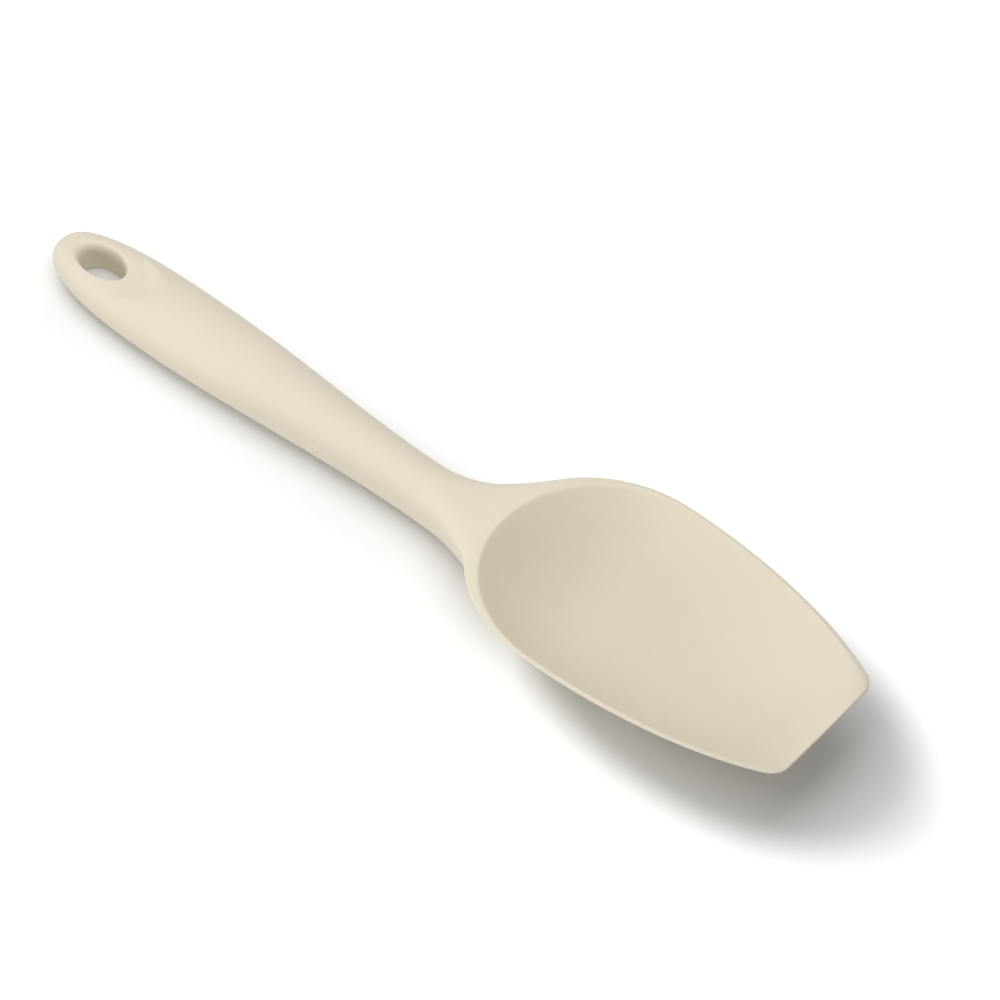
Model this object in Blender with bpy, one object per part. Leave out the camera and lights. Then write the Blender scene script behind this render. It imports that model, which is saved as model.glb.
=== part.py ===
"""Silicone spoon: a stiff nylon core inside one seamless silicone skin.

The spoon lies on its back on the XY plane, with the handle along -X and the tip at +X.
Places along it are given by s, the distance from the butt end of the handle.
"""

import math

import bmesh
import bpy
import numpy as np

MM = 0.001

# Plan, from the butt end to the tip
BUTT_LENGTH = 40.0 * MM          # butt end to the widest part of the handle
PARALLEL_LENGTH = 4.0 * MM       # stretch of even width before the taper
TAPER_LENGTH = 87.0 * MM         # from there to the neck
FLARE_LENGTH = 32.0 * MM         # neck to the place where the bowl's back curve starts
FLARE_MIDDLE = 20.0 * MM         # neck to a place on the way
BACK_LENGTH = 32.0 * MM          # that place to the widest part of the bowl
FRONT_LENGTH = 70.0 * MM         # widest part of the bowl to the tip edge
HANDLE_WIDTH = 24.2 * MM
NECK_WIDTH = 15.2 * MM
FLARE_MIDDLE_WIDTH = 22.6 * MM
FLARE_MIDDLE_SLOPE = 0.5         # how fast each side moves out there
BOWL_WIDTH = 63.7 * MM
BACK_RADIUS = 39.7 * MM          # long radius of the ellipse behind the widest part
FRONT_RADIUS = 85.0 * MM         # long radius of the ellipse in front of it
TIP_CORNER_RADIUS = 3.1 * MM
BUTT_CURVE = 2.4                 # 2 is an ellipse, more is squarer
BUTT_SIDE_CURVE = 2.2            # the same for the butt end in side view
SECTION_CURVE = 2.3              # and for the handle's section
DECK_CURVE = 5.0                 # and for the flat deck behind the bowl's hollow
BOWL_ACROSS_CURVE = 2.0          # and for the bowl's underside, across
BOWL_DOWN_CURVE = 1.15           # and down, where 1 would be a parabola

# Side view, heights above the surface that the spoon rests on
REST_CUT = 0.3 * MM              # depth of the small flats that it rests on
BUTT_LEVEL = 5.2 * MM            # widest line of the handle
WIDEST_LEVEL = 5.6 * MM
MIDDLE_LEVEL = 6.7 * MM
NECK_LEVEL = 7.7 * MM
BUTT_TOP = 11.0 * MM             # highest line of the handle
WIDEST_TOP = 12.7 * MM
MIDDLE_TOP = 15.1 * MM
NECK_TOP = 15.3 * MM
FLARE_TOP = 16.7 * MM            # halfway along the flare
BUTT_UNDERSIDE = 0.6 * MM
MIDDLE_UNDERSIDE = 0.2 * MM
NECK_UNDERSIDE = 0.4 * MM
BUTT_ROUNDING = 9.0 * MM         # length over which the butt end rounds off in side view
DECK_HEIGHT = 20.7 * MM          # rim, where the bowl's back curve starts
RIM_HEIGHT = 23.2 * MM           # rim, at the widest part of the bowl
TIP_HEIGHT = 24.5 * MM           # rim, at the tip edge

# Bowl
LIP_THICKNESS = 0.8 * MM
LIP_ROUNDING = 0.65 * MM
BOWL_FLOOR = 4.5 * MM            # wall under the deepest point
BOWL_LOWEST = 3.0 * MM           # the deepest point lies this far in front of the widest part
CAVITY_RADIUS = 34.6 * MM        # long radius of the back edge of the hollow
TIP_SAG = 0.25 * MM              # how far the tip edge dips in its middle
TIP_THICKNESS = 1.2 * MM

# Handle end
HOLE_CENTRE = 16.5 * MM
HOLE_LENGTH = 14.6 * MM
HOLE_WIDTH = 9.2 * MM
HOLE_ROUNDING = 1.0 * MM         # of its edge in the underside
MOUTH_CENTRE = 15.4 * MM         # the wide, soft edge of the hole in the top
MOUTH_LENGTH = 21.2 * MM
MOUTH_WIDTH = 11.0 * MM
MOUTH_DEPTH = 4.0 * MM
LAND_CENTRE = 15.6 * MM          # flat round the mouth
LAND_LENGTH = 30.8 * MM
LAND_WIDTH = 18.2 * MM
LAND_HEIGHT = 10.5 * MM          # at its centre
LAND_SLOPE = 0.026               # it rises towards the bowl by this much per unit length
LAND_RISE = 6.1 * MM             # steepness of the surface past its edge
LAND_BLEND = 1.6 * MM
LAND_END = 68.0 * MM             # nothing of the flat past this place

# Nylon core
CLEARANCE = 0.3 * MM             # gap that keeps the core's surface off the silicone's
EYE_LINING = 1.7 * MM            # silicone between the hanging hole and the core's eye
EYE_WIDTH = 2.0 * MM
EYE_HEIGHT = 3.0 * MM
BEAM_WIDTH = 12.0 * MM
BEAM_NECK_WIDTH = 8.6 * MM
BEAM_HEIGHT = 6.2 * MM
PADDLE_THICKNESS = 1.5 * MM
SIDE_FLEX = 12.0 * MM            # soft lip without core, each side of the bowl
TIP_FLEX = 29.0 * MM             # soft lip without core, at the tip
PADDLE_END_ROUNDING = 14.0 * MM
WINDOW_LENGTH = 10.0 * MM
WINDOW_WIDTH = 4.4 * MM
WINDOW_PITCH = 16.0 * MM
WINDOW_START = 44.0 * MM
WINDOW_COUNT = 5
KEY_HOLE_DIAMETER = 4.6 * MM
KEY_HOLE_PITCH = 14.0 * MM
KEY_HOLE_SPREAD = 8.5 * MM       # the outer rows' distance from the middle
KEY_HOLE_ROWS = 4
PEG_DIAMETER = 4.0 * MM
PEG_RECESS = 0.3 * MM
CORE_SQUARENESS = 0.5            # 1 gives an oval section, less a squarer one
CORE_BLEND = 4.0 * MM            # rounding where the core turns down under the hollow

# How far the cutters run past what they cut
OVERRUN = 3.0 * MM
THROUGH_LOW = -5.0 * MM
THROUGH_HIGH = 30.0 * MM

# Number of points round each section
SKIN_POINTS = 36
POINT_SPREAD = 0.8               # less than 1 draws them away from the two side edges
CORE_POINTS = 20
HOLLOW_STEPS = 12
ROUND_POINTS = 16
HOLE_STEPS = 4

WIDEST = BUTT_LENGTH
TAPER_START = WIDEST + PARALLEL_LENGTH
NECK = TAPER_START + TAPER_LENGTH
FLARE_END = NECK + FLARE_LENGTH
BOWL_CENTRE = FLARE_END + BACK_LENGTH
LENGTH = BOWL_CENTRE + FRONT_LENGTH
DEEPEST = BOWL_CENTRE + BOWL_LOWEST
TIP_UNDERSIDE = TIP_HEIGHT - TIP_SAG - TIP_THICKNESS


def ramp(value, start, end):
    """0 before start, 1 after end, and a smooth S between them."""
    share = np.clip((value - start) / (end - start), 0.0, 1.0)
    return share * share * (3.0 - 2.0 * share)


def through(value, stations):
    """A smooth curve through (place, height) pairs, without overshoot."""
    places = np.array([place for place, height in stations])
    heights = np.array([height for place, height in stations])
    steps = np.diff(places)
    slopes = np.diff(heights) / steps
    tangents = np.zeros(len(places))
    for i in range(1, len(places) - 1):
        if slopes[i - 1] * slopes[i] > 0.0:
            tangents[i] = 2.0 * slopes[i - 1] * slopes[i] / (slopes[i - 1] + slopes[i])
    tangents[0] = slopes[0]
    tangents[-1] = slopes[-1]
    index = int(np.clip(np.searchsorted(places, value) - 1, 0, len(steps) - 1))
    return hermite(value - places[index], steps[index], heights[index], heights[index + 1],
                   tangents[index], tangents[index + 1])


def hermite(distance, length, start, end, start_slope, end_slope):
    """Cubic from start to end with the given slopes."""
    t = min(max(distance / length, 0.0), 1.0)
    return ((2 * t ** 3 - 3 * t ** 2 + 1) * start + (3 * t ** 2 - 2 * t ** 3) * end
            + (t ** 3 - 2 * t ** 2 + t) * length * start_slope
            + (t ** 3 - t ** 2) * length * end_slope)


def soft_min(first, second, blend):
    """The lower of two heights, with the crease between them rounded."""
    overlap = max(blend - abs(first - second), 0.0) / blend
    return min(first, second) - overlap * overlap * blend / 4.0


def ellipse_share(distance, radius):
    """Half width of an ellipse at a distance from its middle, as a share of its full half width."""
    return math.sqrt(max(1.0 - (distance / radius) ** 2, 0.0))


def half_width(s):
    """Half of the spoon's width, seen from above."""
    handle = HANDLE_WIDTH / 2
    neck = NECK_WIDTH / 2
    bowl = BOWL_WIDTH / 2
    if s < WIDEST:
        return handle * (1.0 - (1.0 - s / WIDEST) ** BUTT_CURVE) ** (1.0 / BUTT_CURVE)
    if s < NECK:
        return handle + (neck - handle) * float(ramp(s, TAPER_START, NECK))
    if s < NECK + FLARE_MIDDLE:
        return hermite(s - NECK, FLARE_MIDDLE, neck, FLARE_MIDDLE_WIDTH / 2, 0.0, FLARE_MIDDLE_SLOPE)
    if s < FLARE_END:
        join = ellipse_share(BACK_LENGTH, BACK_RADIUS)
        join_slope = bowl * BACK_LENGTH / (BACK_RADIUS ** 2 * join)
        return hermite(s - NECK - FLARE_MIDDLE, FLARE_LENGTH - FLARE_MIDDLE, FLARE_MIDDLE_WIDTH / 2,
                       bowl * join, FLARE_MIDDLE_SLOPE, join_slope)
    if s < BOWL_CENTRE:
        return bowl * ellipse_share(BOWL_CENTRE - s, BACK_RADIUS)
    width = bowl * ellipse_share(s - BOWL_CENTRE, FRONT_RADIUS)
    into_corner = max(s - (LENGTH - TIP_CORNER_RADIUS), 0.0)
    corner = TIP_CORNER_RADIUS - math.sqrt(max(TIP_CORNER_RADIUS ** 2 - into_corner ** 2, 0.0))
    return width - corner


def top_line(s):
    """Highest line of the handle, and the rim of the bowl, before the flat and the hollow are cut."""
    return through(s, [(0.0, BUTT_TOP), (WIDEST, WIDEST_TOP), ((WIDEST + NECK) / 2, MIDDLE_TOP),
                       (NECK, NECK_TOP), ((NECK + FLARE_END) / 2, FLARE_TOP),
                       (FLARE_END, DECK_HEIGHT), (BOWL_CENTRE, RIM_HEIGHT), (LENGTH, TIP_HEIGHT)])


def under_line(s):
    """Lowest line of the spoon, before the rest flats are cut."""
    if s > DEEPEST:
        return -REST_CUT + (TIP_UNDERSIDE + REST_CUT) * ((s - DEEPEST) / (LENGTH - DEEPEST)) ** 2
    return through(s, [(0.0, BUTT_UNDERSIDE), (WIDEST, -REST_CUT),
                       ((WIDEST + NECK) / 2, MIDDLE_UNDERSIDE), (NECK, NECK_UNDERSIDE),
                       (FLARE_END, NECK_UNDERSIDE), (DEEPEST, -REST_CUT)])


def level(s):
    """Height of the spoon's widest line: the middle of the handle, and the lip of the bowl."""
    handle = through(s, [(0.0, BUTT_LEVEL), (WIDEST, WIDEST_LEVEL),
                         ((WIDEST + NECK) / 2, MIDDLE_LEVEL), (NECK, NECK_LEVEL)])
    climb = float(ramp(s, NECK, FLARE_END))
    return handle + (top_line(s) - LIP_ROUNDING - handle) * climb


def upper(s, y):
    """Height of the upper surface before the hollow is cut."""
    curve = SECTION_CURVE + (DECK_CURVE - SECTION_CURVE) * float(ramp(s, NECK, FLARE_END))
    share = min(abs(y) / half_width(s), 1.0)
    rise = (top_line(s) - level(s)) * butt_share(s)
    crown = level(s) + rise * (1.0 - share ** curve) ** (1.0 / SECTION_CURVE)
    if s > LAND_END:
        return crown
    return soft_min(crown, land(s, y), LAND_BLEND)


def land(s, y):
    """Height of the flat round the hanging hole, which rises to the crown past its oval edge."""
    flat = LAND_HEIGHT + LAND_SLOPE * (s - LAND_CENTRE)
    past = math.hypot((s - LAND_CENTRE) / (LAND_LENGTH / 2), y / (LAND_WIDTH / 2)) - 1.0
    return flat + LAND_RISE * max(past, 0.0)


def lower(s, y):
    """Height of the lower surface, before the rest flats are cut.

    The handle's rounded section turns into a parabola under the bowl.
    """
    bowl = float(ramp(s, NECK + FLARE_LENGTH / 4, BOWL_CENTRE - BACK_LENGTH / 4))
    across = SECTION_CURVE + (BOWL_ACROSS_CURVE - SECTION_CURVE) * bowl
    down = SECTION_CURVE + (BOWL_DOWN_CURVE - SECTION_CURVE) * bowl
    share = min(abs(y) / half_width(s), 1.0)
    drop = (level(s) - under_line(s)) * butt_share(s)
    return level(s) - drop * (1.0 - share ** across) ** (1.0 / down)


def butt_share(s):
    """How much of its full thickness the handle has near its rounded butt end."""
    if s >= BUTT_ROUNDING:
        return 1.0
    return (1.0 - (1.0 - s / BUTT_ROUNDING) ** BUTT_SIDE_CURVE) ** (1.0 / BUTT_SIDE_CURVE)


def cavity_half_width(s):
    """Half width of the hollow at the rim."""
    if s < BOWL_CENTRE:
        return (BOWL_WIDTH / 2 - LIP_THICKNESS) * ellipse_share(BOWL_CENTRE - s, CAVITY_RADIUS)
    return half_width(min(s, LENGTH - TIP_CORNER_RADIUS)) - LIP_THICKNESS


def cavity_floor(s):
    """Lowest line of the hollow, in front of the bowl's widest part."""
    return BOWL_FLOOR + (TIP_HEIGHT - TIP_SAG - BOWL_FLOOR) * ((s - DEEPEST) / (LENGTH - DEEPEST)) ** 2


def hollow(s, y):
    """Height of the hollow's surface."""
    if s < DEEPEST:
        back = max(BOWL_CENTRE - s, 0.0) / CAVITY_RADIUS
        side = y / (BOWL_WIDTH / 2 - LIP_THICKNESS)
        return top_line(s) - (top_line(s) - BOWL_FLOOR) * (1.0 - back ** 2 - side ** 2)
    side = y / cavity_half_width(s)
    return top_line(s) - (top_line(s) - cavity_floor(s)) * (1.0 - side ** 2)


def middle(s, y):
    """Middle of the silicone, which the core follows."""
    top = upper(s, y)
    if s > FLARE_END - BACK_LENGTH:
        top = soft_min(top, hollow(s, y), CORE_BLEND)
    return (top + max(lower(s, y), 0.0)) / 2


def core_half_width(s):
    """Half width of the core's beam and paddle."""
    beam = (BEAM_WIDTH + (BEAM_NECK_WIDTH - BEAM_WIDTH) * float(ramp(s, WIDEST, NECK))) / 2
    end = LENGTH - TIP_FLEX
    width = max(beam, half_width(s) - SIDE_FLEX) if s > NECK else beam
    into_end = max(s - (end - PADDLE_END_ROUNDING), 0.0)
    return width * ellipse_share(into_end, PADDLE_END_ROUNDING)


def core_half_height(s):
    """Half height of the core's beam and paddle."""
    thin = float(ramp(s, NECK + FLARE_LENGTH / 2, BOWL_CENTRE - BACK_LENGTH / 3))
    return (BEAM_HEIGHT + (PADDLE_THICKNESS - BEAM_HEIGHT) * thin) / 2


def signed_power(value, power):
    """A power of the value's size, with its sign kept."""
    return math.copysign(abs(value) ** power, value)


def skin_ring(s):
    """Section of the silicone's outside."""
    ring = []
    for i in range(SKIN_POINTS):
        angle = 2 * math.pi * i / SKIN_POINTS
        y = half_width(s) * signed_power(math.cos(angle), POINT_SPREAD)
        z = upper(s, y) if math.sin(angle) >= 0 else lower(s, y)
        ring.append((s, y, z))
    return ring


def core_ring(s):
    """Section of the core's beam and paddle: a rounded bar bent to the silicone's middle."""
    ring = []
    for i in range(CORE_POINTS):
        angle = 2 * math.pi * i / CORE_POINTS
        y = core_half_width(s) * signed_power(math.cos(angle), CORE_SQUARENESS)
        z = middle(s, y) + core_half_height(s) * signed_power(math.sin(angle), CORE_SQUARENESS)
        ring.append((s, y, z))
    return ring


def cavity_ring(s):
    """Section of the cutter for the bowl's hollow: curved below, straight sides and a flat top."""
    inside = min(s, LENGTH)
    width = cavity_half_width(inside)
    ring = []
    for i in range(HOLLOW_STEPS + 1):
        y = width * math.cos(math.pi * i / HOLLOW_STEPS)
        ring.append((s, y, hollow(inside, y)))
    ring.append((s, -width, top_line(inside) + OVERRUN))
    ring.append((s, width, top_line(inside) + OVERRUN))
    return ring


def loft(bm, rings, start_point=None):
    """Skin a row of rings: the first is drawn, then extruded from ring to ring."""
    verts = [bm.verts.new(point) for point in rings[0]]
    edges = [bm.edges.new((verts[i - 1], verts[i])) for i in range(len(verts))]
    if start_point is None:
        bmesh.ops.contextual_create(bm, geom=edges)
    else:
        pole = bm.verts.new(start_point)
        for edge in edges:
            bm.faces.new((edge.verts[0], edge.verts[1], pole))
    for ring in rings[1:]:
        made = bmesh.ops.extrude_edge_only(bm, edges=edges)["geom"]
        new = {item for item in made if isinstance(item, bmesh.types.BMVert)}
        verts = [next(edge.other_vert(vert) for edge in vert.link_edges if edge.other_vert(vert) in new)
                 for vert in verts]
        for vert, point in zip(verts, ring):
            vert.co = point
        edges = [bm.edges.get((verts[i - 1], verts[i])) for i in range(len(verts))]
    bmesh.ops.contextual_create(bm, geom=edges)
    bmesh.ops.recalc_face_normals(bm, faces=bm.faces)


def finish_object(name, bm, material=None, cutter=False):
    """Turn a bmesh made in s into an object in the spoon's own frame."""
    bmesh.ops.translate(bm, verts=bm.verts, vec=(-LENGTH / 2, 0.0, 0.0))
    mesh = bpy.data.meshes.new(name)
    bm.to_mesh(mesh)
    bm.free()
    mesh.shade_smooth()
    mesh.set_sharp_from_angle(angle=math.radians(35))
    if material is not None:
        mesh.materials.append(material)
    obj = bpy.data.objects.new(name, mesh)
    bpy.context.scene.collection.objects.link(obj)
    if cutter:
        obj.hide_render = True
        obj.display_type = 'WIRE'
    return obj


def add_boolean(target, other, operation):
    modifier = target.modifiers.new(other.name, 'BOOLEAN')
    modifier.operation = operation
    modifier.object = other
    modifier.solver = 'EXACT'


def plain_material(name, colour, roughness):
    material = bpy.data.materials.new(name)
    material.use_nodes = True
    shader = material.node_tree.nodes["Principled BSDF"]
    shader.inputs["Base Color"].default_value = (*colour, 1.0)
    shader.inputs["Roughness"].default_value = roughness
    shader.inputs["Metallic"].default_value = 0.0
    return material


def eased(start, end, count):
    """Places from start to end, closest together at the start."""
    return [start + (end - start) * (1.0 - math.cos(math.pi / 2 * i / count)) for i in range(count)]


def even(start, end, count):
    return [start + (end - start) * i / count for i in range(count)]


def skin_body():
    """The silicone's outside, solid, with its rest flats."""
    tip_start = LENGTH - TIP_CORNER_RADIUS
    places = eased(0.0, WIDEST, 12)[1:] + even(WIDEST, NECK, 8) + even(NECK, FLARE_END, 10)
    places += even(FLARE_END, BOWL_CENTRE, 7) + even(BOWL_CENTRE, tip_start, 11)
    places += [tip_start + TIP_CORNER_RADIUS * math.sin(math.pi / 2 * i / 4) for i in range(5)]
    bm = bmesh.new()
    loft(bm, [skin_ring(s) for s in places], start_point=(0.0, 0.0, BUTT_LEVEL))
    cut = bmesh.ops.bisect_plane(bm, geom=bm.verts[:] + bm.edges[:] + bm.faces[:], dist=1e-7,
                                 plane_co=(0, 0, 0), plane_no=(0, 0, -1), clear_outer=True)
    rims = [item for item in cut["geom_cut"] if isinstance(item, bmesh.types.BMEdge)]
    bmesh.ops.holes_fill(bm, edges=rims, sides=0)
    return bm


def cavity_cutter():
    """What the bowl holds, with room above and past the tip."""
    start = BOWL_CENTRE - CAVITY_RADIUS
    tip_start = LENGTH - TIP_CORNER_RADIUS
    places = eased(start, BOWL_CENTRE, 12)[1:] + even(BOWL_CENTRE, tip_start, 11)
    places += [tip_start, LENGTH, LENGTH + OVERRUN]
    bm = bmesh.new()
    loft(bm, [cavity_ring(s) for s in places])
    return bm


def hole_cutter():
    """The hanging hole: a wide soft mouth in the top, a straight oval, a rounded edge below."""
    mouth = (MOUTH_CENTRE, MOUTH_LENGTH / 2, MOUTH_WIDTH / 2)
    hole = (HOLE_CENTRE, HOLE_LENGTH / 2, HOLE_WIDTH / 2)
    foot = (HOLE_CENTRE, HOLE_LENGTH / 2 + HOLE_ROUNDING, HOLE_WIDTH / 2 + HOLE_ROUNDING)
    rings = [hole_ring(mouth, lambda s: land(s, 0.0) + OVERRUN)]
    for i in range(HOLE_STEPS + 1):
        turn = math.pi / 2 * i / HOLE_STEPS
        down = MOUTH_DEPTH * (1.0 - math.cos(turn))
        rings.append(hole_ring(blend_ovals(mouth, hole, math.sin(turn)), lambda s: land(s, 0.0) - down))
    for i in range(HOLE_STEPS + 1):
        turn = math.pi / 2 * i / HOLE_STEPS
        up = HOLE_ROUNDING * (1.0 - math.sin(turn))
        rings.append(hole_ring(blend_ovals(foot, hole, math.cos(turn)),
                               lambda s: lower(s, HOLE_WIDTH / 2) + up))
    rings.append(hole_ring(foot, lambda s: lower(s, HOLE_WIDTH / 2) - OVERRUN))
    bm = bmesh.new()
    loft(bm, rings)
    return bm


def blend_ovals(first, second, share):
    """An oval between two ovals, each a centre, a half length and a half breadth."""
    return tuple(a + (b - a) * share for a, b in zip(first, second))


def hole_ring(oval, height_at):
    centre, half_length, half_breadth = oval
    ring = []
    for i in range(2 * ROUND_POINTS):
        angle = math.pi * i / ROUND_POINTS
        s = centre + half_length * math.cos(angle)
        ring.append((s, half_breadth * math.sin(angle), height_at(s)))
    return ring


def upright(bm, s, y, half_length, half_breadth, low, high):
    """An upright round or oval bar."""
    made = bmesh.ops.create_cone(bm, cap_ends=True, segments=ROUND_POINTS, radius1=1.0, radius2=1.0,
                                 depth=1.0)
    verts = made["verts"]
    bmesh.ops.scale(bm, verts=verts, vec=(half_length, half_breadth, high - low))
    bmesh.ops.translate(bm, verts=verts, vec=(s, y, (low + high) / 2))


def core_bar(grow):
    """The core's beam and paddle."""
    start = HOLE_CENTRE + HOLE_LENGTH / 2 + EYE_LINING + EYE_WIDTH / 2
    end = LENGTH - TIP_FLEX
    places = even(start, NECK, 9) + even(NECK, FLARE_END, 7) + even(FLARE_END, BOWL_CENTRE, 8)
    places += even(BOWL_CENTRE, end - PADDLE_END_ROUNDING, 5)
    places += [end - PADDLE_END_ROUNDING * (1.0 - math.sin(math.pi / 2 * i / 6)) for i in range(6)]
    bm = bmesh.new()
    loft(bm, [core_ring(s) for s in places])
    if grow:
        bm.normal_update()
        shifts = [(vert, vert.normal * grow) for vert in bm.verts]
        for vert, shift in shifts:
            vert.co += shift
    return bm


def core_eye(grow, hollow_part):
    """The oval bar round the hanging hole, or the narrower one that hollows it into a ring."""
    middle_height = middle(HOLE_CENTRE, 0.0)
    out = EYE_LINING - grow if hollow_part else EYE_LINING + EYE_WIDTH + grow
    reach = EYE_HEIGHT / 2 + (OVERRUN if hollow_part else grow)
    bm = bmesh.new()
    upright(bm, HOLE_CENTRE, 0.0, HOLE_LENGTH / 2 + out, HOLE_WIDTH / 2 + out,
            middle_height - reach, middle_height + reach)
    return bm


def window_places():
    return [WINDOW_START + WINDOW_PITCH * i for i in range(WINDOW_COUNT)]


def peg_places():
    """Pegs stand between the windows, before the first one, at the neck and under the bowl."""
    before = WINDOW_START - WINDOW_PITCH / 2
    between = WINDOW_START + WINDOW_PITCH * (WINDOW_COUNT // 2 + 0.5)
    return [before, between, NECK, BOWL_CENTRE + KEY_HOLE_PITCH]


def key_hole_places():
    """The paddle's holes, in two outer rows and one between them that leaves room for the peg."""
    first = BOWL_CENTRE - 0.75 * KEY_HOLE_PITCH
    places = []
    for row in range(KEY_HOLE_ROWS):
        for side in (-1, 1):
            places.append((first + KEY_HOLE_PITCH * row, side * KEY_HOLE_SPREAD))
    places.append((first + KEY_HOLE_PITCH * 0.5, 0.0))
    places.append((first + KEY_HOLE_PITCH * 2.5, 0.0))
    return places


def core_openings(grow):
    """Windows in the beam and holes in the paddle, which the silicone runs through."""
    bm = bmesh.new()
    for s in window_places():
        upright(bm, s, 0.0, WINDOW_LENGTH / 2 - grow, WINDOW_WIDTH / 2 - grow,
                THROUGH_LOW, THROUGH_HIGH)
    for s, y in key_hole_places():
        radius = KEY_HOLE_DIAMETER / 2 - grow
        upright(bm, s, y, radius, radius, THROUGH_LOW, THROUGH_HIGH)
    return bm


def core_pegs(grow):
    """Round pegs that held the core in the mould, with their ends in the spoon's underside."""
    bm = bmesh.new()
    for s in peg_places():
        radius = PEG_DIAMETER / 2 + grow
        surface = max(lower(s - PEG_DIAMETER / 2, 0.0), lower(s + PEG_DIAMETER / 2, 0.0), 0.0)
        low = surface + PEG_RECESS if grow == 0.0 else surface - OVERRUN
        upright(bm, s, 0.0, radius, radius, low, middle(s, 0.0))
    return bm


def build_core(name, grow, material=None):
    """The core, or with a grow the cutter that makes room for it in the silicone."""
    cutter = material is None
    core = finish_object(name, core_bar(grow), material, cutter)
    eye = finish_object(name + "_eye", core_eye(grow, False), cutter=True)
    eye_hollow = finish_object(name + "_eye_hollow", core_eye(grow, True), cutter=True)
    openings = finish_object(name + "_openings", core_openings(grow), cutter=True)
    pegs = finish_object(name + "_pegs", core_pegs(grow), cutter=True)
    add_boolean(core, eye, 'UNION')
    add_boolean(core, pegs, 'UNION')
    add_boolean(core, eye_hollow, 'DIFFERENCE')
    add_boolean(core, openings, 'DIFFERENCE')
    return core


def build_skin(room_for_core):
    """The silicone skin: its outside, less the bowl's hollow, the hanging hole and the core."""
    silicone = plain_material("cream_silicone", (0.80, 0.74, 0.61), 0.6)
    skin = finish_object("silicone_skin", skin_body(), silicone)
    cavity = finish_object("bowl_hollow_cutter", cavity_cutter(), cutter=True)
    hole = finish_object("hanging_hole_cutter", hole_cutter(), cutter=True)
    add_boolean(skin, cavity, 'DIFFERENCE')
    add_boolean(skin, hole, 'DIFFERENCE')
    add_boolean(skin, room_for_core, 'DIFFERENCE')
    return skin


def main():
    for obj in list(bpy.data.objects):
        bpy.data.objects.remove(obj, do_unlink=True)
    nylon = plain_material("white_nylon", (0.80, 0.79, 0.75), 0.45)
    build_core("nylon_core", 0.0, nylon)
    room = build_core("room_for_core", CLEARANCE)
    build_skin(room)


main()
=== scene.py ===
# %% [markdown]
# # A silicone spoon
#
# The spoon is a soft silicone skin moulded in one piece over a stiff nylon core. The skin is the
# whole outside: the handle with its hanging hole, the neck, and a bowl with thin lips and a
# straight tip edge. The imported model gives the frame: its size, its place and its hidden core.
# This lesson models the skin again with a fine mesh, and gives both pieces their finish.
#
# The spoon lies on its back. The handle points along -X and the tip along +X.

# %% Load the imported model
import math

import bmesh
import bpy
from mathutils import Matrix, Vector


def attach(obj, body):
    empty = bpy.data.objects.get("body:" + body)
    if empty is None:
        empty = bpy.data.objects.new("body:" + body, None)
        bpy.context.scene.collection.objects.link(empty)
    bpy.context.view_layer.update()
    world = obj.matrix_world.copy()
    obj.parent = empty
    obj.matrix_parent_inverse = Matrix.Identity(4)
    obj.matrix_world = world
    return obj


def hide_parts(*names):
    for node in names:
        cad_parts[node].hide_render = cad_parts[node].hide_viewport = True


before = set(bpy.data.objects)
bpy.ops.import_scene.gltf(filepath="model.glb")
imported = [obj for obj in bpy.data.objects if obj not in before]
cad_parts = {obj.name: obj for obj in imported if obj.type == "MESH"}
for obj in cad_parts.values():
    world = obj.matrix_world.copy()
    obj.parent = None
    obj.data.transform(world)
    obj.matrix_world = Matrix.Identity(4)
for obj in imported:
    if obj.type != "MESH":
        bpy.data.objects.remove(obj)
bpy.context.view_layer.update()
MM = 0.001

# %% [markdown]
# ## The camera
#
# The photograph looks down on the spoon from its near side, with the handle's butt at the upper
# left. Two points of the spoon that are far apart keep nearly the same scale in it, so the lens
# is long. The camera is set first, because every later choice is judged through it.

# %% Set the camera
CAMERA_AZIMUTH = math.radians(41.17)
CAMERA_ELEVATION = math.radians(52.0)
CAMERA_DISTANCE = 1.2
CAMERA_TARGET = Vector((12.81 * MM, 15.14 * MM, 0.0))
CAMERA_LENS = 165.48                # in mm, as is the sensor's width
SENSOR_WIDTH = 36.0

towards_camera = Vector((math.sin(CAMERA_AZIMUTH) * math.cos(CAMERA_ELEVATION),
                         -math.cos(CAMERA_AZIMUTH) * math.cos(CAMERA_ELEVATION),
                         math.sin(CAMERA_ELEVATION)))
camera_data = bpy.data.cameras.new("photo_camera")
camera_data.lens = CAMERA_LENS
camera_data.sensor_width = SENSOR_WIDTH
camera = bpy.data.objects.new("photo_camera", camera_data)
camera.location = CAMERA_TARGET + towards_camera * CAMERA_DISTANCE
camera.rotation_euler = (-towards_camera).to_track_quat('-Z', 'Y').to_euler()
bpy.context.scene.collection.objects.link(camera)
bpy.context.scene.camera = camera
print("Camera at", [round(value, 3) for value in camera.location])

# %% [markdown]
# ## Places along the spoon
#
# A spoon is easiest to describe by its sections. Each place along it has a distance s from the
# butt end, and at each s a few curves say how wide the spoon is, how high its top line and its
# under line run, and where its widest line lies. It could be pushed into shape by eye instead, but
# then no size of it could be measured or changed alone. First come the lengths that part the
# handle, the neck and the bowl.

# %% Mark the places
BUTT_LENGTH = 40.0 * MM
PARALLEL_LENGTH = 4.0 * MM
TAPER_LENGTH = 87.0 * MM
FLARE_LENGTH = 32.0 * MM
BACK_LENGTH = 32.0 * MM
FRONT_LENGTH = 70.0 * MM

WIDEST = BUTT_LENGTH
TAPER_START = WIDEST + PARALLEL_LENGTH
NECK = TAPER_START + TAPER_LENGTH
FLARE_END = NECK + FLARE_LENGTH
BOWL_CENTRE = FLARE_END + BACK_LENGTH
LENGTH = BOWL_CENTRE + FRONT_LENGTH

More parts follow.
